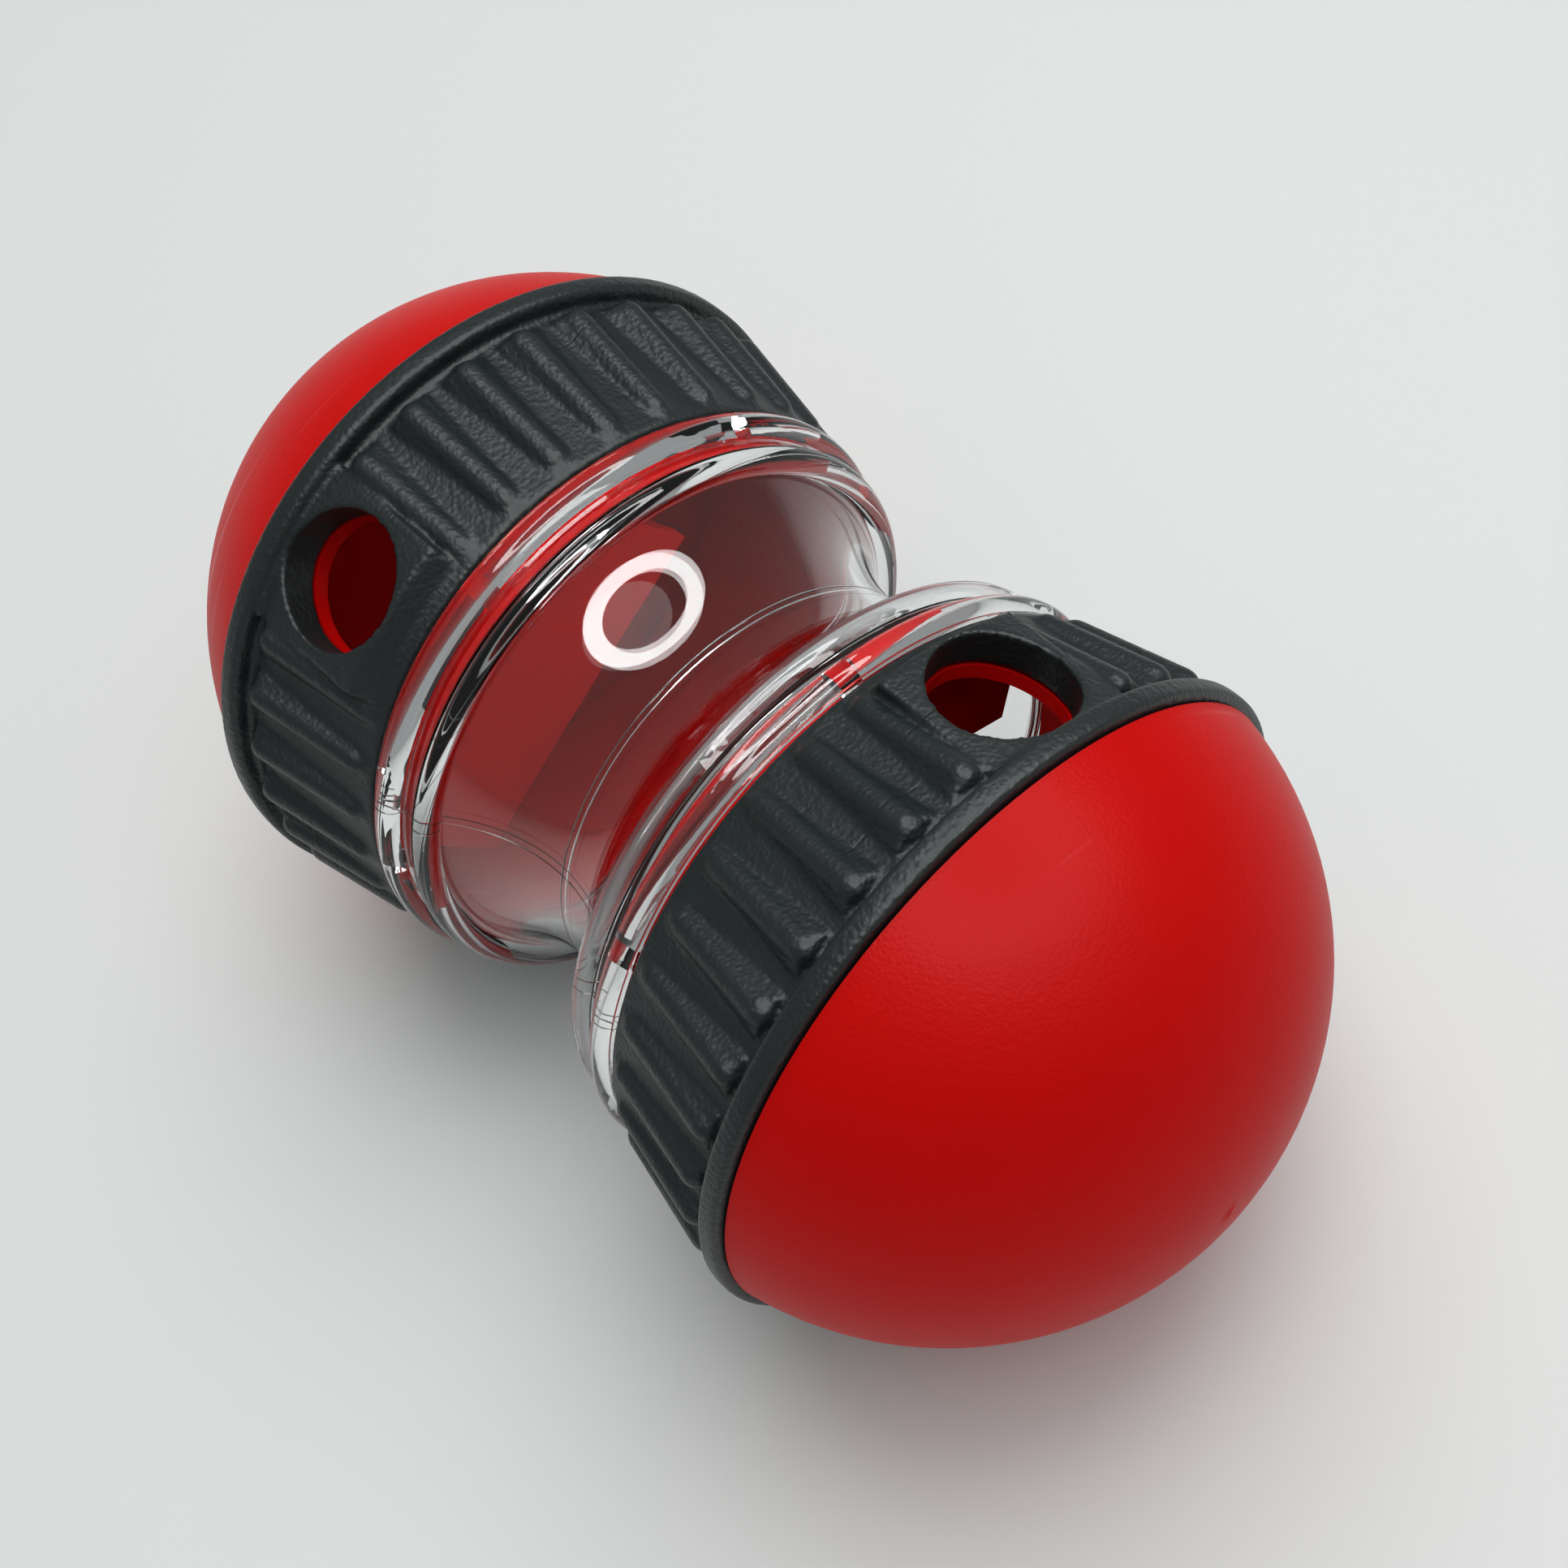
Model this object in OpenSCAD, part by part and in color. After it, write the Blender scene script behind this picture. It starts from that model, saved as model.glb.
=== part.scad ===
// Rolling treat dispenser: a clear hourglass barrel with a ribbed grip band, a gate cup and a domed cap at
// each end. Each end twists off the barrel for filling; each dome turns to open or shut its outlet.
// Millimetres. +X runs along the axis towards the front end, +Z is up, the origin is the centre of the waist.

/* [Overall] */
// Radius of the two lips the toy rolls on
lip_radius = 40; // [34:0.1:48]
// Length of each grip band along the axis
band_length = 20.95; // [17:0.05:26]
// Radius of the ball that shapes each dome
dome_radius = 40; // [39:0.1:50]

/* [Barrel] */
// Outside radius of the barrel at the waist
waist_radius = 26; // [21:0.1:31]
// Radius of the hollow curve that forms the waist
bell_curve = 17.1; // [16.5:0.1:19]
// Thickness of the clear wall
barrel_wall = 2; // [1.6:0.1:2.4]
// Distance from the waist to the start of the collar
bell_reach = 13; // [12:0.1:14]
// Length of the collar at each end of the barrel
collar_length = 6.5; // [6.2:0.1:8]
// How far the collar's outer face is below the lip radius
collar_drop = 6.1; // [5.5:0.1:7]
// Depth of the seat the gate cup turns in, below the collar's outer face
collar_skin = 1; // [0.9:0.1:1.4]
// Radius of the outer bead's round
bead_round = 1.6; // [1.5:0.05:1.7]
// Radius of the shoulder bead's round
shoulder_round = 1.5; // [1.2:0.05:1.7]
// How far each bead stands out from the collar
bead_stand = 2.1; // [1.9:0.1:2.4]
// How far the collar's plain end stands out
end_stand = 1.3; // [1.2:0.1:1.5]
// How far the shoulder bead stands out from the collar
shoulder_stand = 0.8; // [0.4:0.1:1.2]
// Distance from the collar's start to the seat's floor
seat_depth = 2; // [1.8:0.1:2.4]

/* [Twist lock] */
// Number of locking lugs on each gate cup
lug_count = 3; // [3:1:4]
// Angle each lug spans
lug_angle = 20; // [14:1:26]
// Angle an end turns from locked to free
twist_angle = 36; // [28:1:40]
// Thickness of each lug along the axis
lug_thick = 1.4; // [1.2:0.1:1.6]
// Free angle at each side of a lug
lug_play = 1; // [0.5:0.1:2]
// Angle each stop in the groove spans
stop_angle = 4; // [3:0.5:5]
// How far each lug reaches into its groove
lug_reach = 1.3; // [1:0.1:1.4]
// Thickness of the collar wall that holds the lugs in
lug_wall = 0.9; // [0.8:0.1:1.1]

/* [Grip band] */
// How far the band's floor is below the lip at the lip end
floor_drop_lip = 2.1; // [1.6:0.1:2.6]
// How far the band's floor is below the lip at the waist end
floor_drop_waist = 4.6; // [4.2:0.1:5]
// Width of the smooth lip
lip_width = 2.65; // [2:0.05:3.5]
// Edge break on the lip
lip_break = 0.4; // [0.2:0.05:0.6]
// Inside radius of the band, below the lip radius
bore_drop = 5.6; // [5.4:0.1:6]
// Rib positions around a full turn, two of which the outlet panel takes
rib_places = 34; // [30:2:38]
// Radius of each half-round rib
rib_round = 1.75; // [1.4:0.05:2]
// How far a rib's crest is below the lip at the lip end
crest_drop_lip = 0.6; // [0.4:0.1:1]
// How far a rib's crest is below the lip at the waist end
crest_drop_waist = 3.2; // [2.8:0.1:3.6]
// Gap between the ribs' round ends and the lip
rib_lip_gap = 0.8; // [0.4:0.1:1.4]
// Smooth strip between the ribs and the barrel
rib_strip = 1.2; // [0.6:0.1:2]

/* [Outlet] */
// Diameter of the outlet hole
outlet_diameter = 14.6; // [10:0.2:14.8]
// Distance from the lip's waist side to the middle of the outlet
outlet_set = 7.75; // [7.6:0.05:8.2]
// Half the angle the smooth panel round the outlet spans
panel_half_angle = 13.4; // [12.5:0.1:14]
// How far the panel is below the lip at the lip end
panel_drop_lip = 1.2; // [1:0.1:1.5]
// How far the panel is below the lip at the waist end
panel_drop_waist = 1.8; // [1.5:0.1:2.2]
// Angle of the front outlet away from straight up
front_outlet_angle = -20.9; // [-180:0.1:180]
// Angle of the back outlet away from straight up
back_outlet_angle = 32.7; // [-180:0.1:180]
// Angle a dome turns from open to shut
shut_angle = 30; // [27:1:36]

/* [Dome] */
// How far the dome's rim is inside the lip radius
rim_inset = 1.15; // [0.8:0.05:2]
// Thickness of the dome's shell
dome_wall = 2.2; // [1.8:0.1:3]
// Thickness of the ring that joins the shell to the sleeve
ring_thick = 2; // [1.6:0.1:3]
// Thickness of the sleeve behind the outlet
sleeve_wall = 1.6; // [1.4:0.1:1.8]
// How far the snap bead stands out
snap_stand = 0.6; // [0.4:0.1:0.8]
// Width of the snap bead
snap_width = 0.8; // [0.6:0.1:1]
// Width of each turning land
land_width = 0.7; // [0.6:0.1:0.9]
// Angle the stop tab spans
tab_angle = 6; // [5:1:9]

/* [Gate cup] */
// Thickness of the cup's wall
cup_wall = 1.8; // [1.5:0.1:2]
// Thickness of the flange pressed into the band
flange_thick = 1.6; // [1.5:0.1:1.8]
// Thickness of the gate tongue
tongue_thick = 1.8; // [1.5:0.1:2.4]
// Distance from the axis to the tongue's straight edge
tongue_edge = 13; // [12.5:0.5:18]
// Half the width of the gate tongue
tongue_half_width = 20; // [14:0.5:22]
// Depth of the slot the stop tab runs in
tab_slot_depth = 1; // [0.9:0.1:1.1]

/* [Clearances] */
// Free gap between faces of different pieces
gap = 0.3; // [0.25:0.01:0.4]
// Radial clearance of a turning fit
turn_fit = 0.06; // [0.03:0.01:0.09]
// Overlap that lets cut shapes break cleanly through
over = 0.5; // [0.4:0.1:1]
// Small step that keeps cut faces from lying on one another
bite = 0.1; // [0.05:0.05:0.15]

/* [Hidden] */
$fn = 96;
full_turn = 360;
quarter = 90;
collar_radius = lip_radius - collar_drop;
seat_radius = collar_radius - collar_skin;
bell_centre = waist_radius + bell_curve;
collar_end = bell_reach + collar_length;
seat_floor = bell_reach + seat_depth;
bead_centre = collar_end - bead_round;
groove_end = collar_end - lug_wall;
groove_start = groove_end - lug_thick - 2 * gap;
groove_radius = seat_radius - gap + lug_reach + gap;
band_start = collar_end + gap;
lip_top = band_start + band_length;
lip_start = lip_top - lip_width;
bore_radius = lip_radius - bore_drop;
floor_lip = lip_radius - floor_drop_lip;
floor_waist = lip_radius - floor_drop_waist;
rib_step = full_turn / rib_places;
rib_end = lip_start - rib_lip_gap - rib_round;
rib_start = band_start + rib_strip + rib_round;
rib_axis_lip = lip_radius - crest_drop_lip - rib_round;
rib_axis_waist = lip_radius - crest_drop_waist - rib_round;
rib_run = rib_end - rib_start;
rib_rise = rib_axis_lip - rib_axis_waist;
rib_length = sqrt(rib_run * rib_run + rib_rise * rib_rise);
rib_tilt = atan(rib_rise / rib_run);
panel_lip = lip_radius - panel_drop_lip;
panel_waist = lip_radius - panel_drop_waist;
outlet_radius = outlet_diameter / 2;
outlet_place = lip_start - outlet_set;
panel_shoulder = outlet_place - outlet_radius - gap;
cup_radius = seat_radius - gap;
cup_bore = cup_radius - cup_wall;
cup_base = seat_floor + gap;
lug_radius = cup_radius + lug_reach;
lug_base = groove_start + gap;
flange_end = band_start + flange_thick;
sleeve_base = flange_end + gap;
sleeve_radius = bore_radius - gap;
sleeve_bore = sleeve_radius - sleeve_wall;
land_radius = bore_radius - turn_fit;
dome_base = lip_top + gap;
rim_radius = lip_radius - rim_inset;
dome_centre = dome_base - sqrt(dome_radius * dome_radius - rim_radius * rim_radius);
cavity_radius = dome_radius - dome_wall;
ring_top = dome_base + ring_thick;
snap_place = lip_top - lip_width / 2 - snap_width / 2;
snap_radius = sleeve_radius + snap_stand;
tab_drop = tab_slot_depth - gap;
clear_red = [0.86, 0.08, 0.07];
black_grip = [0.07, 0.09, 0.1];
clear_body = [0.9, 0.93, 0.95, 0.35];

// turns a flat outline of [radius, distance along the axis] round the X axis
module spin() {
    rotate([0, quarter, 0])
        rotate_extrude()
            children();
}

// the same, for part of a turn centred on straight up
module spin_part(sweep) {
    rotate([0, quarter, 0])
        rotate([0, 0, full_turn / 2 - sweep / 2])
            rotate_extrude(angle = sweep)
                children();
}

// a rectangle between two radii and two places along the axis
module slab(inner, outer, from, to) {
    translate([inner, from])
        square([outer - inner, to - from]);
}

// one half of the barrel's outline: waist curve, shoulder bead, collar and outer bead
module barrel_half() {
    difference() {
        union() {
            difference() {
                slab(0, collar_radius, 0, bell_reach);
                translate([bell_centre, 0])
                    circle(r = bell_curve);
            }
            slab(0, collar_radius, bell_reach, collar_end);
            slab(0, collar_radius + end_stand, bead_centre, collar_end);
            translate([collar_radius + shoulder_stand - shoulder_round, bell_reach + gap])
                circle(r = shoulder_round);
            translate([collar_radius + bead_stand - bead_round, bead_centre])
                circle(r = bead_round);
        }
        difference() {
            slab(-over, bell_centre, -over, seat_floor);
            translate([bell_centre, 0])
                circle(r = bell_curve + barrel_wall);
        }
        slab(-over, seat_radius, seat_floor - over, collar_end + over);
        slab(-over, groove_radius, groove_start, groove_end);
    }
}

// the entry slots of one end, ready to be cut through the collar's lug wall
module entry_slots() {
    for (i = [0 : lug_count - 1])
        rotate([i * full_turn / lug_count - twist_angle, 0, 0])
            spin_part(lug_angle + 2 * lug_play)
                slab(seat_radius - over, groove_radius - bite, groove_end - over, collar_end + over);
}

// the stops of one end, which stand in the groove on both sides of each lug's travel
module lug_stops() {
    stop_place = lug_angle / 2 + lug_play + stop_angle / 2;
    for (i = [0 : lug_count - 1])
        for (place = [stop_place, -twist_angle - stop_place])
            rotate([i * full_turn / lug_count + place, 0, 0])
                spin_part(stop_angle)
                    slab(seat_radius + bite, groove_radius + bite, groove_start - bite, groove_end + bite);
}

// puts a front-end shape on the back end
module to_back() {
    rotate([0, 0, full_turn / 2])
        children();
}

// the clear hourglass that holds the treats
module clear_barrel() {
    color(clear_body)
        union() {
            difference() {
                spin()
                    union() {
                        barrel_half();
                        mirror([0, 1])
                            barrel_half();
                    }
                rotate([front_outlet_angle, 0, 0])
                    entry_slots();
                to_back()
                    rotate([-back_outlet_angle, 0, 0])
                        entry_slots();
            }
            rotate([front_outlet_angle, 0, 0])
                lug_stops();
            to_back()
                rotate([-back_outlet_angle, 0, 0])
                    lug_stops();
        }
}

// one lengthwise rib with round ends, standing straight up
module rib() {
    translate([rib_start, 0, rib_axis_waist])
        sphere(r = rib_round);
    translate([rib_start, 0, rib_axis_waist])
        rotate([0, quarter - rib_tilt, 0])
            cylinder(r = rib_round, h = rib_length);
    translate([rib_end, 0, rib_axis_lip])
        sphere(r = rib_round);
}

// the grip band with its outlet straight up
module grip_band() {
    difference() {
        union() {
            spin()
                polygon([[bore_radius - over, band_start],
                         [floor_waist - gap, band_start],
                         [floor_waist, band_start + gap],
                         [floor_lip, lip_start],
                         [lip_radius - lip_break, lip_start],
                         [lip_radius, lip_start + lip_break],
                         [lip_radius, lip_top - lip_break],
                         [lip_radius - lip_break, lip_top],
                         [bore_radius - over, lip_top]]);
            for (i = [1 : rib_places - 2])
                rotate([(i + 1 / 2) * rib_step, 0, 0])
                    rib();
            spin_part(2 * panel_half_angle)
                polygon([[bore_radius - over, band_start + rib_strip],
                         [floor_waist, band_start + rib_strip],
                         [panel_waist, panel_shoulder],
                         [panel_lip, lip_start + over],
                         [bore_radius - over, lip_start + over]]);
        }
        spin()
            slab(0, bore_radius, band_start - over, lip_top + over);
        spin()
            slab(bore_radius - over, snap_radius + gap, snap_place - gap, snap_place + snap_width + gap);
        translate([outlet_place, 0, 0])
            cylinder(r = outlet_radius, h = lip_radius + over);
    }
}

// the gate cup: lugs, turning land, flange and the tongue behind the outlet
module gate_cup() {
    difference() {
        union() {
            spin()
                union() {
                    slab(cup_bore, cup_radius, cup_base, flange_end);
                    slab(cup_bore, seat_radius - turn_fit, cup_base, cup_base + land_width);
                    slab(cup_bore, bore_radius, band_start, flange_end);
                }
            for (i = [0 : lug_count - 1])
                rotate([i * full_turn / lug_count, 0, 0])
                    spin_part(lug_angle)
                        slab(cup_radius - over, lug_radius, lug_base, lug_base + lug_thick);
            intersection() {
                spin()
                    slab(0, cup_bore + over, cup_base, cup_base + tongue_thick);
                translate([cup_base, -tongue_half_width, tongue_edge])
                    cube([tongue_thick, 2 * tongue_half_width, cup_radius]);
            }
        }
        rotate([shut_angle / 2, 0, 0])
            spin_part(shut_angle + tab_angle + 2)
                slab(cup_radius, bore_radius + over, flange_end - tab_slot_depth, flange_end + over);
    }
}

// the domed cap's outline: shell, ring, sleeve, snap bead and turning lands
module dome_outline() {
    difference() {
        union() {
            intersection() {
                translate([0, dome_centre])
                    circle(r = dome_radius);
                slab(0, dome_radius, dome_base, dome_centre + dome_radius + over);
            }
            slab(sleeve_bore, sleeve_radius, sleeve_base, dome_base + over);
            slab(sleeve_bore, land_radius, sleeve_base, sleeve_base + land_width);
            slab(sleeve_bore, land_radius, lip_top - land_width, dome_base + over);
            slab(sleeve_bore, snap_radius, snap_place, snap_place + snap_width);
        }
        intersection() {
            translate([0, dome_centre])
                circle(r = cavity_radius);
            slab(-over, dome_radius, ring_top, dome_centre + dome_radius);
        }
        slab(-over, sleeve_bore, sleeve_base - over, ring_top + over);
    }
}

// the domed cap with its stop tab and the outlet straight up
module dome() {
    difference() {
        union() {
            spin()
                dome_outline();
            spin_part(tab_angle)
                slab(cup_radius + gap, sleeve_radius - gap, sleeve_base - tab_drop, sleeve_base + over);
        }
        translate([outlet_place, 0, 0])
            cylinder(r = outlet_radius, h = lip_radius);
    }
}

module grip_band_front() {
    color(black_grip)
        rotate([front_outlet_angle, 0, 0])
            grip_band();
}

module gate_cup_front() {
    color(clear_red)
        rotate([front_outlet_angle, 0, 0])
            gate_cup();
}

module dome_front() {
    color(clear_red)
        rotate([front_outlet_angle, 0, 0])
            dome();
}

module grip_band_back() {
    color(black_grip)
        to_back()
            rotate([-back_outlet_angle, 0, 0])
                grip_band();
}

module gate_cup_back() {
    color(clear_red)
        to_back()
            rotate([-back_outlet_angle, 0, 0])
                gate_cup();
}

module dome_back() {
    color(clear_red)
        to_back()
            rotate([-back_outlet_angle, 0, 0])
                dome();
}

clear_barrel();
grip_band_front();
gate_cup_front();
dome_front();
grip_band_back();
gate_cup_back();
dome_back();
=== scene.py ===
"""Dresses the rolling treat dispenser: clear barrel, ribbed grip bands, gate cups and domed caps."""

import logging
import math
from dataclasses import dataclass, field
from enum import Enum

import bpy
from mathutils import Matrix, Vector


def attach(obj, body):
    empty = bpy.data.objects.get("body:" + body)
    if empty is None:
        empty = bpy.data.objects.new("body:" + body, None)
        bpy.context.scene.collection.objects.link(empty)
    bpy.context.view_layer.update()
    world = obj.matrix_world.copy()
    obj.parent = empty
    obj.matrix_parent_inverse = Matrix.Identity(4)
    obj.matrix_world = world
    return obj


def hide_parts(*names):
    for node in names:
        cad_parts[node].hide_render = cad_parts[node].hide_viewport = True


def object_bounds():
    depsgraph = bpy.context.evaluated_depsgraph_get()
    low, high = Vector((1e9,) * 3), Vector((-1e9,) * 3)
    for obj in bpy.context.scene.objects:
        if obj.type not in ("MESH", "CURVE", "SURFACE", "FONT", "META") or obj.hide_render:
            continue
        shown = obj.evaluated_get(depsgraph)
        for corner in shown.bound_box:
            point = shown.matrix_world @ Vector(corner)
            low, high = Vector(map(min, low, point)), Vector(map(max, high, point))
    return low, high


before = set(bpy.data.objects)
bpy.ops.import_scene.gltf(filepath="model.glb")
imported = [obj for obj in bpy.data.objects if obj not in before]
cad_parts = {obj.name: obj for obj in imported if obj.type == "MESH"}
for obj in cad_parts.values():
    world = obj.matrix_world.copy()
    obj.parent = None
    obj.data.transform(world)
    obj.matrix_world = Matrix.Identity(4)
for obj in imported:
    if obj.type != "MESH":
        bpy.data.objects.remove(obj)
CAD_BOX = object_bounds()
MM = 0.001
LOG = logging.getLogger("treat_dispenser")


class End(Enum):
    """The two ends of the toy, each with the sign of its side along X."""

    FRONT = 1
    BACK = -1

    @property
    def word(self) -> str:
        """Gives the end's name as the CAD nodes use it."""
        return self.name.lower()


# ---------------------------------------------------------------- shader groups


@dataclass(frozen=True)
class GroupKit:
    """Builds the shader node groups that the finishes share."""

    pebble_blend: float = 0.7
    fine_share: float = 0.55
    fine_detail: float = 3.0
    fine_roughness: float = 0.6
    patch_scale: float = 55.0
    patch_detail: float = 2.0
    scratch_runs: tuple[tuple[float, float], ...] = ((0.4, 9.0), (1.9, 13.0))
    scratch_across: float = 70.0
    scratch_along: float = 3.0
    scratch_edge: float = 30.0

    def socket(
        self, tree: bpy.types.NodeTree, name: str, way: str, kind: str, value: float | None = None
    ) -> None:
        """Adds one socket to a group.

        Args:
            tree: The group's node tree.
            name: The socket's name.
            way: INPUT or OUTPUT.
            kind: The socket type's identifier.
            value: The default value of an input.
        """
        made = tree.interface.new_socket(name=name, in_out=way, socket_type=kind)
        if value is not None:
            made.default_value = value

    def math(
        self, tree: bpy.types.NodeTree, operation: str, first: object, second: object = None
    ) -> bpy.types.NodeSocket:
        """Adds a math node fed by sockets or numbers.

        Args:
            tree: The tree that gets the node.
            operation: The math node's operation.
            first: A socket or number.
            second: A socket or number, or None.

        Returns:
            The node's output socket.
        """
        node = tree.nodes.new("ShaderNodeMath")
        node.operation = operation
        for place, given in enumerate((first, second)):
            if isinstance(given, bpy.types.NodeSocket):
                tree.links.new(given, node.inputs[place])
            elif given is not None:
                node.inputs[place].default_value = given
        return node.outputs[0]

    def moulded_grain(self) -> bpy.types.NodeTree:
        """Builds the pebbled texture that a textured mould leaves on plastic.

        Returns:
            A group with Vector, Pebbles per metre and Unevenness in, Height and Patches out.
        """
        tree = bpy.data.node_groups.new("moulded_grain", "ShaderNodeTree")
        self.socket(tree, "Vector", "INPUT", "NodeSocketVector")
        self.socket(tree, "Pebbles per metre", "INPUT", "NodeSocketFloat", 1500.0)
        self.socket(tree, "Unevenness", "INPUT", "NodeSocketFloat", 0.4)
        self.socket(tree, "Height", "OUTPUT", "NodeSocketFloat")
        self.socket(tree, "Patches", "OUTPUT", "NodeSocketFloat")
        entry = tree.nodes.new("NodeGroupInput")
        leave = tree.nodes.new("NodeGroupOutput")
        cells = tree.nodes.new("ShaderNodeTexVoronoi")
        cells.feature = "SMOOTH_F1"
        cells.inputs["Smoothness"].default_value = self.pebble_blend
        tree.links.new(entry.outputs["Vector"], cells.inputs["Vector"])
        tree.links.new(entry.outputs["Pebbles per metre"], cells.inputs["Scale"])
        rough = tree.nodes.new("ShaderNodeTexNoise")
        rough.inputs["Detail"].default_value = self.fine_detail
        rough.inputs["Roughness"].default_value = self.fine_roughness
        tree.links.new(entry.outputs["Vector"], rough.inputs["Vector"])
        fine = self.math(tree, "MULTIPLY", entry.outputs["Pebbles per metre"], self.fine_share)
        tree.links.new(fine, rough.inputs["Scale"])
        patches = tree.nodes.new("ShaderNodeTexNoise")
        patches.inputs["Detail"].default_value = self.patch_detail
        patches.inputs["Scale"].default_value = self.patch_scale
        tree.links.new(entry.outputs["Vector"], patches.inputs["Vector"])
        uneven = self.math(tree, "MULTIPLY", rough.outputs["Fac"], entry.outputs["Unevenness"])
        dome = self.math(tree, "SUBTRACT", 1.0, cells.outputs["Distance"])
        tree.links.new(self.math(tree, "ADD", dome, uneven), leave.inputs["Height"])
        tree.links.new(patches.outputs["Fac"], leave.inputs["Patches"])
        return tree

    def fine_scratches(self) -> bpy.types.NodeTree:
        """Builds sparse hairline scratches.

        Returns:
            A group with Vector and Sparseness in, Mask out.
        """
        tree = bpy.data.node_groups.new("fine_scratches", "ShaderNodeTree")
        self.socket(tree, "Vector", "INPUT", "NodeSocketVector")
        self.socket(tree, "Sparseness", "INPUT", "NodeSocketFloat", 0.66)
        self.socket(tree, "Mask", "OUTPUT", "NodeSocketFloat")
        entry = tree.nodes.new("NodeGroupInput")
        leave = tree.nodes.new("NodeGroupOutput")
        masks: list[bpy.types.NodeSocket] = []
        for turn, scale in self.scratch_runs:
            mapping = tree.nodes.new("ShaderNodeMapping")
            mapping.inputs["Rotation"].default_value = (turn, turn * 0.7, turn * 1.3)
            along = scale * self.scratch_along
            mapping.inputs["Scale"].default_value = (scale * self.scratch_across, along, along)
            tree.links.new(entry.outputs["Vector"], mapping.inputs["Vector"])
            streak = tree.nodes.new("ShaderNodeTexNoise")
            streak.inputs["Scale"].default_value = 1.0
            streak.inputs["Detail"].default_value = 1.0
            tree.links.new(mapping.outputs["Vector"], streak.inputs["Vector"])
            over = self.math(tree, "SUBTRACT", streak.outputs["Fac"], entry.outputs["Sparseness"])
            raised = self.math(tree, "MULTIPLY", over, self.scratch_edge)
            masks.append(self.math(tree, "MINIMUM", self.math(tree, "MAXIMUM", raised, 0.0), 1.0))
        tree.links.new(self.math(tree, "MAXIMUM", masks[0], masks[1]), leave.inputs["Mask"])
        return tree


class Groups:
    """Holds each shared group, built once."""

    def __init__(self) -> None:
        """Builds the groups."""
        kit = GroupKit()
        self.grain = kit.moulded_grain()
        self.scratches = kit.fine_scratches()


# ---------------------------------------------------------------- finishes


@dataclass(frozen=True)
class MouldedFinish:
    """A solid-coloured moulded plastic or rubber with a pebbled mould texture."""

    name: str
    colour: tuple[float, float, float]
    colour_far: tuple[float, float, float]
    roughness: float
    roughness_spread: float
    pebbles_per_metre: float
    unevenness: float
    bump: float
    scratch_sparseness: float
    relief: float = 0.05 * MM
    specular: float = 0.5
    scratch_polish: float = 0.12
    scratch_depth: float = 0.5

    def build(self, groups: Groups) -> bpy.types.Material:
        """Builds the material.

        Args:
            groups: The shared shader groups.

        Returns:
            The new material.
        """
        material = bpy.data.materials.new(self.name)
        material.use_nodes = True
        tree = material.node_tree
        shader = tree.nodes["Principled BSDF"]
        place = tree.nodes.new("ShaderNodeTexCoord").outputs["Object"]
        grain = tree.nodes.new("ShaderNodeGroup")
        grain.node_tree = groups.grain
        grain.inputs["Pebbles per metre"].default_value = self.pebbles_per_metre
        grain.inputs["Unevenness"].default_value = self.unevenness
        tree.links.new(place, grain.inputs["Vector"])
        scratch = tree.nodes.new("ShaderNodeGroup")
        scratch.node_tree = groups.scratches
        scratch.inputs["Sparseness"].default_value = self.scratch_sparseness
        tree.links.new(place, scratch.inputs["Vector"])
        tint = tree.nodes.new("ShaderNodeMix")
        tint.data_type = "RGBA"
        tint.inputs["A"].default_value = (*self.colour, 1.0)
        tint.inputs["B"].default_value = (*self.colour_far, 1.0)
        tree.links.new(grain.outputs["Patches"], tint.inputs["Factor"])
        tree.links.new(tint.outputs["Result"], shader.inputs["Base Color"])
        spread = tree.nodes.new("ShaderNodeMapRange")
        spread.inputs["To Min"].default_value = self.roughness - self.roughness_spread
        spread.inputs["To Max"].default_value = self.roughness + self.roughness_spread
        tree.links.new(grain.outputs["Patches"], spread.inputs["Value"])
        marked = tree.nodes.new("ShaderNodeMath")
        marked.operation = "MULTIPLY_ADD"
        marked.inputs[1].default_value = -self.scratch_polish
        tree.links.new(scratch.outputs["Mask"], marked.inputs[0])
        tree.links.new(spread.outputs["Result"], marked.inputs[2])
        tree.links.new(marked.outputs[0], shader.inputs["Roughness"])
        relief = tree.nodes.new("ShaderNodeMath")
        relief.operation = "MULTIPLY_ADD"
        relief.inputs[1].default_value = -self.scratch_depth
        tree.links.new(scratch.outputs["Mask"], relief.inputs[0])
        tree.links.new(grain.outputs["Height"], relief.inputs[2])
        bump = tree.nodes.new("ShaderNodeBump")
        bump.inputs["Strength"].default_value = self.bump
        bump.inputs["Distance"].default_value = self.relief
        tree.links.new(relief.outputs[0], bump.inputs["Height"])
        tree.links.new(bump.outputs["Normal"], shader.inputs["Normal"])
        shader.inputs["Specular IOR Level"].default_value = self.specular
        return material


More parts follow.
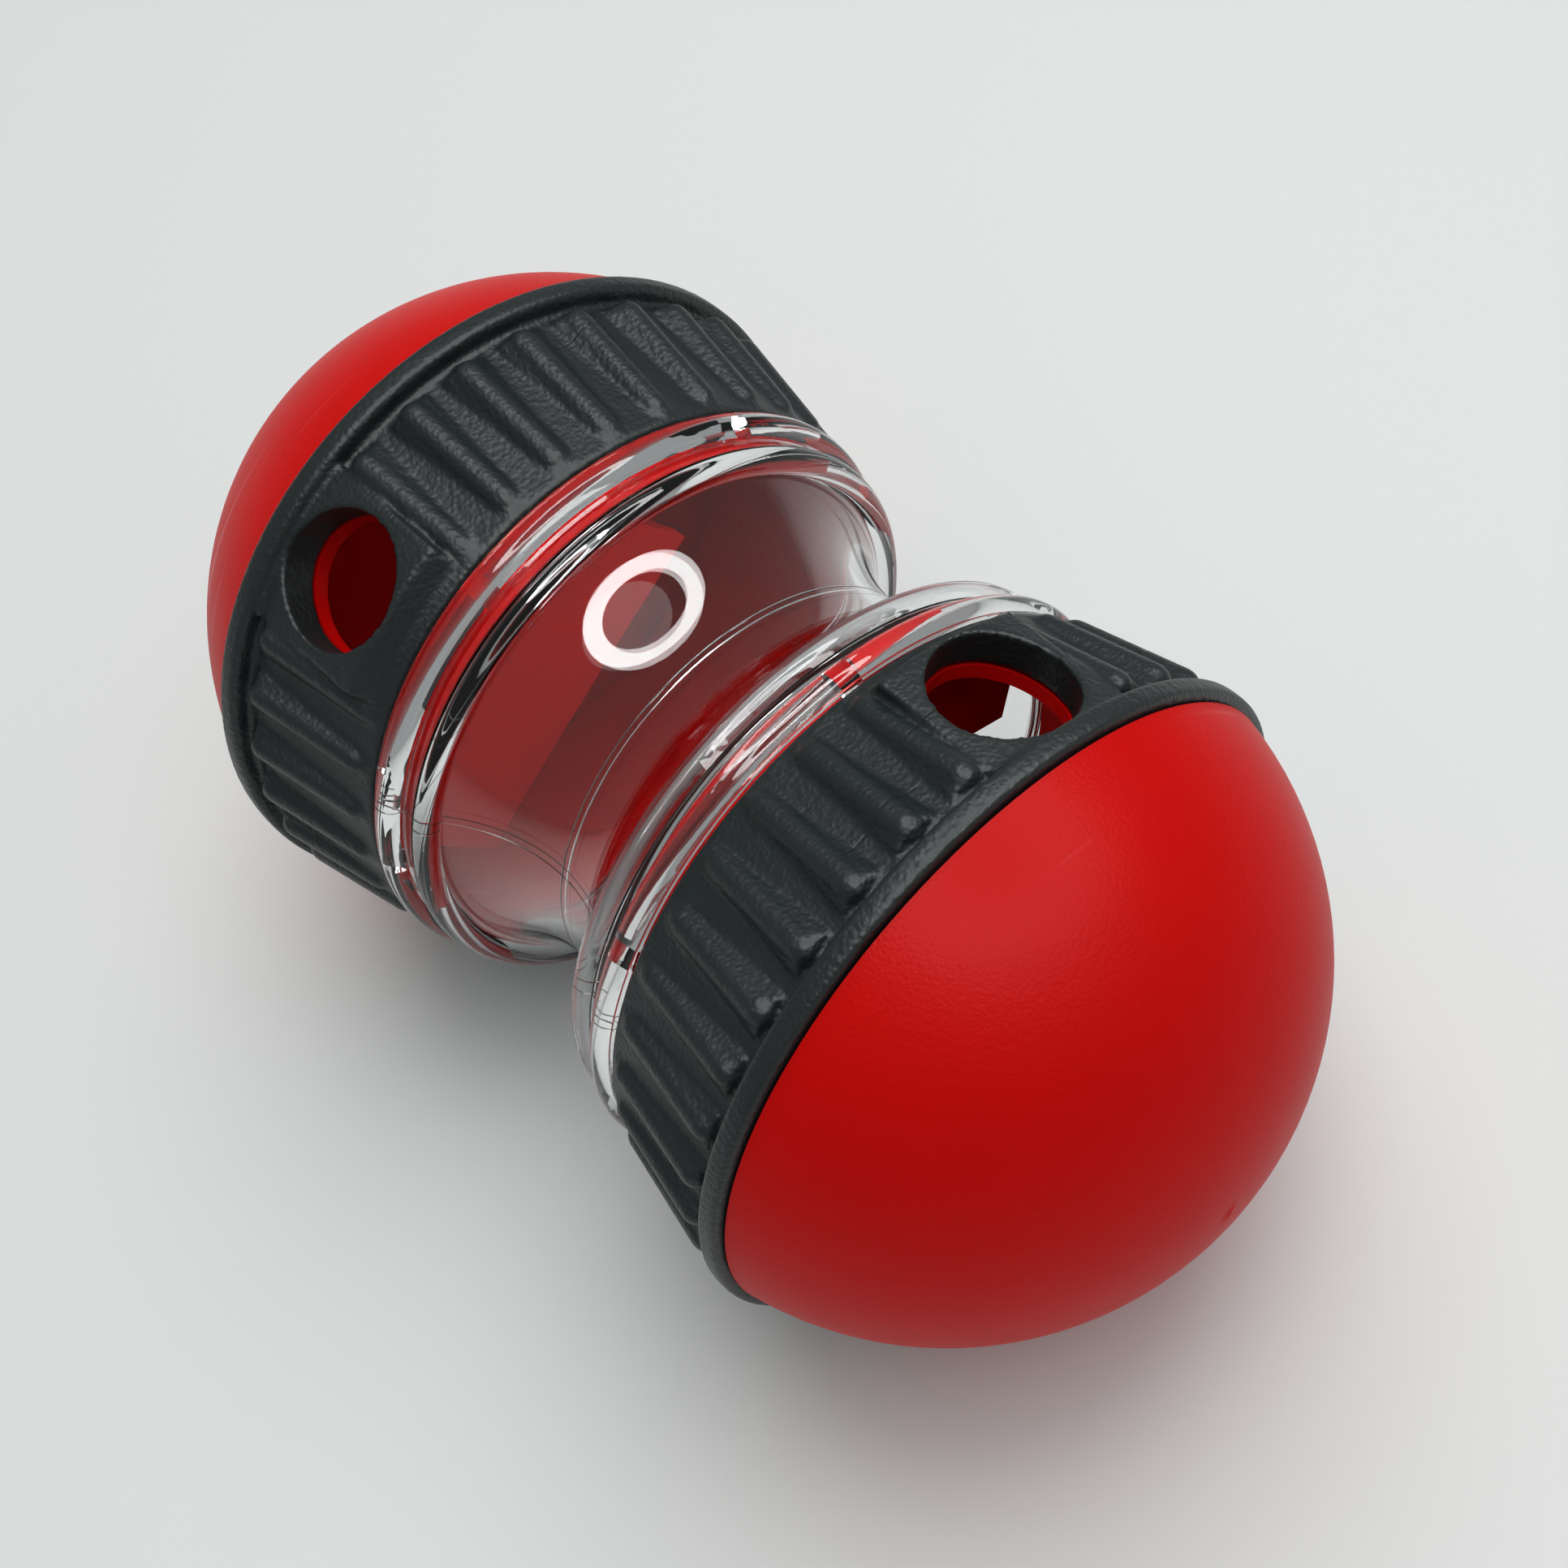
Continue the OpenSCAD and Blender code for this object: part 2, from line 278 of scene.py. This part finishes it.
@dataclass(frozen=True)
class ClearFinish:
    """Clear glossy moulded plastic with faint flow marks, fine scratches and parting lines."""

    name: str = "clear_plastic"
    colour: tuple[float, float, float] = (0.96, 0.97, 0.975)
    roughness: float = 0.015
    ior: float = 1.5
    line_width: float = 0.12 * MM
    line_angle: float = math.radians(-64.0)
    scratch_sparseness: float = 0.7
    scratch_share: float = 0.12
    mark_roughness: float = 0.25
    flow_scale: float = 60.0
    flow_share: float = 0.9
    relief: float = 0.06 * MM

    def line(self, tree: bpy.types.NodeTree, distance: bpy.types.NodeSocket) -> bpy.types.NodeSocket:
        """Makes a thin line mask where a distance is near nought.

        Args:
            tree: The material's tree.
            distance: The signed distance from the line, in metres.

        Returns:
            A socket that is 1 on the line and 0 off it.
        """
        kit = GroupKit()
        near = kit.math(tree, "DIVIDE", kit.math(tree, "ABSOLUTE", distance), self.line_width)
        return kit.math(tree, "MAXIMUM", kit.math(tree, "SUBTRACT", 1.0, near), 0.0)

    def build(self, groups: Groups) -> bpy.types.Material:
        """Builds the material.

        Args:
            groups: The shared shader groups.

        Returns:
            The new material.
        """
        kit = GroupKit()
        material = bpy.data.materials.new(self.name)
        material.use_nodes = True
        tree = material.node_tree
        shader = tree.nodes["Principled BSDF"]
        shader.inputs["Base Color"].default_value = (*self.colour, 1.0)
        shader.inputs["Transmission Weight"].default_value = 1.0
        shader.inputs["IOR"].default_value = self.ior
        place = tree.nodes.new("ShaderNodeTexCoord").outputs["Object"]
        parts = tree.nodes.new("ShaderNodeSeparateXYZ")
        tree.links.new(place, parts.inputs["Vector"])
        turned = tree.nodes.new("ShaderNodeMapping")
        turned.inputs["Rotation"].default_value = (self.line_angle, 0.0, 0.0)
        tree.links.new(place, turned.inputs["Vector"])
        side = tree.nodes.new("ShaderNodeSeparateXYZ")
        tree.links.new(turned.outputs["Vector"], side.inputs["Vector"])
        waist = self.line(tree, parts.outputs["X"])
        along = self.line(tree, side.outputs["Y"])
        lines = kit.math(tree, "MAXIMUM", waist, along)
        scratch = tree.nodes.new("ShaderNodeGroup")
        scratch.node_tree = groups.scratches
        scratch.inputs["Sparseness"].default_value = self.scratch_sparseness
        tree.links.new(place, scratch.inputs["Vector"])
        flow = tree.nodes.new("ShaderNodeTexNoise")
        flow.inputs["Scale"].default_value = self.flow_scale
        flow.inputs["Detail"].default_value = 1.0
        tree.links.new(place, flow.inputs["Vector"])
        faint = kit.math(tree, "MULTIPLY", scratch.outputs["Mask"], self.scratch_share)
        marks = kit.math(tree, "MAXIMUM", lines, faint)
        dulled = kit.math(tree, "MULTIPLY", marks, self.mark_roughness)
        tree.links.new(kit.math(tree, "ADD", dulled, self.roughness), shader.inputs["Roughness"])
        waves = kit.math(tree, "MULTIPLY", flow.outputs["Fac"], self.flow_share)
        height = kit.math(tree, "ADD", lines, waves)
        bump = tree.nodes.new("ShaderNodeBump")
        bump.inputs["Strength"].default_value = 1.0
        bump.inputs["Distance"].default_value = self.relief
        tree.links.new(height, bump.inputs["Height"])
        tree.links.new(bump.outputs["Normal"], shader.inputs["Normal"])
        return material


@dataclass(frozen=True)
class PaperFinish:
    """Matt pale paper for the floor."""

    name: str = "pale_floor"
    colour: tuple[float, float, float] = (0.80, 0.82, 0.81)
    fade: tuple[float, float, float] = (0.97, 0.98, 0.975)
    cloud_scale: float = 4.0
    roughness: float = 0.75

    def build(self) -> bpy.types.Material:
        """Builds the material.

        Returns:
            The new material.
        """
        material = bpy.data.materials.new(self.name)
        material.use_nodes = True
        tree = material.node_tree
        shader = tree.nodes["Principled BSDF"]
        place = tree.nodes.new("ShaderNodeTexCoord").outputs["Object"]
        cloud = tree.nodes.new("ShaderNodeTexNoise")
        cloud.inputs["Scale"].default_value = self.cloud_scale
        tree.links.new(place, cloud.inputs["Vector"])
        tint = tree.nodes.new("ShaderNodeMix")
        tint.data_type = "RGBA"
        tint.inputs["A"].default_value = (*self.colour, 1.0)
        faded = (own * share for own, share in zip(self.colour, self.fade))
        tint.inputs["B"].default_value = (*faded, 1.0)
        tree.links.new(cloud.outputs["Fac"], tint.inputs["Factor"])
        tree.links.new(tint.outputs["Result"], shader.inputs["Base Color"])
        shader.inputs["Roughness"].default_value = self.roughness
        return material


OUTLET_ANGLES = {End.FRONT: -20.9, End.BACK: -32.7}
RED = MouldedFinish(
    name="satin_red_plastic",
    colour=(0.62, 0.0025, 0.0015),
    colour_far=(0.57, 0.0020, 0.0015),
    roughness=0.42,
    roughness_spread=0.05,
    pebbles_per_metre=2600.0,
    unevenness=0.7,
    bump=0.45,
    scratch_sparseness=0.72,
    specular=0.07,
)
BLACK = MouldedFinish(
    name="grained_black_grip",
    colour=(0.0062, 0.0108, 0.0115),
    colour_far=(0.0095, 0.0145, 0.0155),
    roughness=0.44,
    roughness_spread=0.06,
    pebbles_per_metre=1900.0,
    unevenness=0.9,
    bump=0.8,
    scratch_sparseness=0.74,
    relief=0.085 * MM,
    specular=0.42,
)


# ---------------------------------------------------------------- modelling helpers


@dataclass(frozen=True)
class Bench:
    """The maker's bench: selection and copying of meshes."""

    merge: float = 0.004 * MM

    def clear(self) -> None:
        """Deselects everything."""
        bpy.ops.object.select_all(action="DESELECT")

    def pick(self, piece: bpy.types.Object) -> None:
        """Makes one object the only selected and active one."""
        self.clear()
        piece.select_set(True)
        bpy.context.view_layer.objects.active = piece

    def copy(self, node: bpy.types.Object, name: str) -> bpy.types.Object:
        """Copies a CAD node's shape into a piece of its own, with its triangles joined.

        Args:
            node: The CAD node's object.
            name: The new piece's name.

        Returns:
            The new piece, at the origin.
        """
        self.pick(node)
        bpy.ops.object.duplicate()
        piece = bpy.context.view_layer.objects.active
        piece.name = name
        piece.data.name = name
        piece.data.materials.clear()
        for key in list(piece.keys()):
            del piece[key]
        bpy.ops.object.mode_set(mode="EDIT")
        bpy.ops.mesh.select_all(action="SELECT")
        bpy.ops.mesh.remove_doubles(threshold=self.merge)
        bpy.ops.object.mode_set(mode="OBJECT")
        return piece

    def modifier(self, piece: bpy.types.Object, kind: str, **values: object) -> None:
        """Adds one modifier and applies it.

        Args:
            piece: The piece to change.
            kind: The modifier's type.
            values: The modifier's settings.
        """
        self.pick(piece)
        bpy.ops.object.modifier_add(type=kind)
        added = piece.modifiers[-1]
        for key, value in values.items():
            setattr(added, key, value)
        bpy.ops.object.modifier_apply(modifier=added.name)

    def dress(self, piece: bpy.types.Object, material: bpy.types.Material) -> None:
        """Gives a piece one material in every slot."""
        if not piece.data.materials:
            piece.data.materials.append(material)
        for place in range(len(piece.material_slots)):
            piece.material_slots[place].material = material


# ---------------------------------------------------------------- sub-assemblies


@dataclass
class ClearBarrel:
    """The clear hourglass barrel."""

    finish: ClearFinish = field(default_factory=ClearFinish)
    bench: Bench = field(default_factory=Bench)

    def dress(self, groups: Groups) -> bpy.types.Object:
        """Gives the barrel its clear finish.

        Args:
            groups: The shared shader groups.

        Returns:
            The barrel's CAD object.
        """
        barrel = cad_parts["clear_barrel"]
        self.bench.dress(barrel, self.finish.build(groups))
        return barrel


@dataclass
class EndAssembly:
    """One end: grip band, gate cup and domed cap."""

    end: End
    voxel: float = 0.34 * MM
    soften: int = 3
    outlet_angle: float = 0.0
    rib_places: int = 34
    panel_places: int = 2
    swell_sides: int = 28
    swell_size: tuple[float, float, float] = (8.1 * MM, 2.55 * MM, 1.2 * MM)
    swell_narrow: tuple[float, float, float] = (1.0, 0.6, 0.5)
    swell_place: tuple[float, float] = (28.8 * MM, 36.43 * MM)
    swell_tilt: float = math.radians(8.84)
    bench: Bench = field(default_factory=Bench)

    def placing(self, turn: float) -> Matrix:
        """Gives the matrix that takes a shape standing straight up on the front end to its place.

        Args:
            turn: How far round from the outlet, in radians.

        Returns:
            The placing matrix.
        """
        flip = Matrix.Rotation(math.pi, 4, "Z") if self.end is End.BACK else Matrix.Identity(4)
        return flip @ Matrix.Rotation(self.outlet_angle + turn, 4, "X")

    def rib_swells(self) -> list[bpy.types.Object]:
        """Models one rib's broad flanks, narrower towards the barrel, and copies it round the band.

        Returns:
            The swells, one for each rib.
        """
        self.bench.clear()
        bpy.ops.mesh.primitive_cylinder_add(
            vertices=self.swell_sides, radius=1.0, depth=2.0, rotation=(0.0, math.pi / 2, 0.0)
        )
        first = bpy.context.view_layer.objects.active
        bpy.ops.object.transform_apply(location=True, rotation=True, scale=True)
        bpy.ops.object.mode_set(mode="EDIT")
        bpy.ops.mesh.select_all(action="SELECT")
        bpy.ops.transform.resize(value=self.swell_size)
        bpy.ops.mesh.select_all(action="DESELECT")
        bpy.ops.object.mode_set(mode="OBJECT")
        for vertex in first.data.vertices:
            vertex.select = vertex.co.x < 0.0
        bpy.ops.object.mode_set(mode="EDIT")
        bpy.ops.transform.resize(value=self.swell_narrow)
        bpy.ops.object.mode_set(mode="OBJECT")
        along, out = self.swell_place
        lean = Matrix.Translation((along, 0.0, out)) @ Matrix.Rotation(-self.swell_tilt, 4, "Y")
        step = 2 * math.pi / self.rib_places
        swells: list[bpy.types.Object] = []
        for place in range(1, self.rib_places + 1 - self.panel_places):
            copy = bpy.data.objects.new("rib_swell", first.data.copy())
            copy.data.transform(self.placing((place + 0.5) * step) @ lean)
            bpy.context.scene.collection.objects.link(copy)
            swells.append(copy)
        bpy.data.objects.remove(first)
        return swells

    def band(self, black: bpy.types.Material) -> bpy.types.Object:
        """Models the soft-edged grip band from the CAD band's shape and its ribs' flanks.

        Args:
            black: The grained black finish.

        Returns:
            The finished band.
        """
        name = f"grip_band_{self.end.word}"
        piece = self.bench.copy(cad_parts[name], f"soft_{name}")
        swells = self.rib_swells()
        self.bench.pick(piece)
        for swell in swells:
            swell.select_set(True)
        bpy.ops.object.join()
        self.bench.modifier(
            piece, "REMESH", mode="VOXEL", voxel_size=self.voxel, adaptivity=0.0, use_smooth_shade=True
        )
        self.bench.modifier(piece, "SMOOTH", factor=0.5, iterations=self.soften)
        self.bench.dress(piece, black)
        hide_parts(name)
        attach(piece, f"{self.end.word}_end")
        return piece

    def dress(self, red: bpy.types.Material) -> None:
        """Gives the dome and the gate cup their red finish."""
        for part in ("dome", "gate_cup"):
            self.bench.dress(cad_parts[f"{part}_{self.end.word}"], red)


# ---------------------------------------------------------------- studio


@dataclass(frozen=True)
class Lamp:
    """One round soft light and the kinds of surface that see it."""

    name: str
    place: tuple[float, float, float]
    aim: tuple[float, float, float]
    size: float
    watts: float
    on_matt: bool = True
    on_gloss: bool = True
    through_clear: bool = True


KEY = Lamp(
    "key_soft_light", (-0.30, 0.36, 1.05), (0.0, 0.0, 0.0), 1.15, 8.0, on_gloss=False, through_clear=False
)
FILL = Lamp("fill_soft_light", (0.13, 0.02, 0.50), (0.04, 0.0, 0.0), 0.40, 0.75, on_gloss=False)
RING = Lamp("ring_light", (0.112, 0.102, 0.502), (-0.007, -0.001, 0.028), 0.56, 5.5, on_matt=False)


@dataclass
class Studio:
    """Pale floor, soft light and the camera."""

    eye: tuple[float, float, float] = (0.11277, -0.05284, 0.19238)
    right: tuple[float, float, float] = (0.6976, 0.7095, -0.1001)
    up: tuple[float, float, float] = (-0.6054, 0.6584, 0.4473)
    lens: float = 47.06
    shift: tuple[float, float] = (-0.1035, 0.0999)
    floor_half: float = 3.0
    ring_inner: float = 0.66
    ring_strength: float = 1.56
    room_colour: tuple[float, float, float] = (0.93, 0.97, 0.97)
    room_strength: float = 0.30
    bench: Bench = field(default_factory=Bench)

    def camera(self) -> bpy.types.Object:
        """Places the camera.

        Returns:
            The camera's object.
        """
        data = bpy.data.cameras.new("studio_camera")
        data.lens = self.lens
        data.sensor_width = 36.0
        data.shift_x, data.shift_y = self.shift
        data.clip_start = 0.01
        camera = bpy.data.objects.new("studio_camera", data)
        bpy.context.scene.collection.objects.link(camera)
        x = Vector(self.right).normalized()
        y = Vector(self.up).normalized()
        z = x.cross(y).normalized()
        camera.matrix_world = Matrix.Translation(self.eye) @ Matrix((x, y, z)).transposed().to_4x4()
        bpy.context.scene.camera = camera
        return camera

    def floor(self) -> bpy.types.Object:
        """Lays the floor under the lips.

        Returns:
            The floor's object.
        """
        self.bench.clear()
        low = CAD_BOX[0][2]
        bpy.ops.mesh.primitive_plane_add(size=2 * self.floor_half, location=(0.0, 0.0, low))
        floor = bpy.context.view_layer.objects.active
        floor.name = "pale_floor"
        bpy.ops.object.mode_set(mode="EDIT")
        bpy.ops.mesh.select_all(action="SELECT")
        bpy.ops.mesh.subdivide(number_cuts=3)
        bpy.ops.object.mode_set(mode="OBJECT")
        bpy.ops.object.transform_apply(location=True, rotation=False, scale=False)
        self.bench.dress(floor, PaperFinish().build())
        return floor

    def area_light(self, lamp: Lamp) -> bpy.types.Object:
        """Adds one soft light.

        Args:
            lamp: The light's sizes and settings.

        Returns:
            The light's object.
        """
        data = bpy.data.lights.new(lamp.name, "AREA")
        data.shape = "DISK"
        data.size = lamp.size
        data.energy = lamp.watts
        light = bpy.data.objects.new(lamp.name, data)
        bpy.context.scene.collection.objects.link(light)
        light.location = lamp.place
        light.rotation_mode = "QUATERNION"
        light.rotation_quaternion = (Vector(lamp.aim) - Vector(lamp.place)).to_track_quat("-Z", "Y")
        light.visible_diffuse = lamp.on_matt
        light.visible_glossy = lamp.on_gloss
        light.visible_transmission = lamp.through_clear
        return light

    def ring(self, light: bpy.types.Object) -> None:
        """Makes a round light shine from its outer ring only.

        Args:
            light: The round light.
        """
        light.data.use_nodes = True
        tree = light.data.node_tree
        kit = GroupKit()
        shine = tree.nodes["Emission"]
        spot = tree.nodes.new("ShaderNodeNewGeometry").outputs["Parametric"]
        parts = tree.nodes.new("ShaderNodeSeparateXYZ")
        tree.links.new(spot, parts.inputs["Vector"])
        across = kit.math(tree, "SUBTRACT", parts.outputs["X"], 0.5)
        down = kit.math(tree, "SUBTRACT", parts.outputs["Y"], 0.5)
        across_squared = kit.math(tree, "MULTIPLY", across, across)
        down_squared = kit.math(tree, "MULTIPLY", down, down)
        radius = kit.math(tree, "SQRT", kit.math(tree, "ADD", across_squared, down_squared))
        lit = kit.math(tree, "GREATER_THAN", radius, self.ring_inner / 2)
        tree.links.new(kit.math(tree, "MULTIPLY", lit, self.ring_strength), shine.inputs["Strength"])

    def surroundings(self) -> None:
        """Sets the soft all-round light of a white room."""
        world = bpy.data.worlds.new("white_room")
        bpy.context.scene.world = world
        world.use_nodes = True
        back = world.node_tree.nodes["Background"]
        back.inputs["Color"].default_value = (*self.room_colour, 1.0)
        back.inputs["Strength"].default_value = self.room_strength

    def build(self) -> None:
        """Builds the camera, floor and lights."""
        scene = bpy.context.scene
        scene.view_settings.view_transform = "Standard"
        self.camera()
        self.floor()
        self.surroundings()
        self.area_light(KEY)
        self.area_light(FILL)
        self.ring(self.area_light(RING))


def main() -> None:
    """Builds each sub-assembly in order and reports it."""
    logging.basicConfig(level=logging.INFO, format="%(message)s")
    groups = Groups()
    red = RED.build(groups)
    black = BLACK.build(groups)
    barrel = ClearBarrel().dress(groups)
    LOG.info("dressed %s", barrel.name)
    for end in End:
        assembly = EndAssembly(end, outlet_angle=math.radians(OUTLET_ANGLES[end]))
        band = assembly.band(black)
        LOG.info("modelled %s with %d faces", band.name, len(band.data.polygons))
        assembly.dress(red)
        LOG.info("dressed dome and gate cup, %s", end.word)
    Studio().build()
    LOG.info("sizes written")


if __name__ == "__main__":
    main()
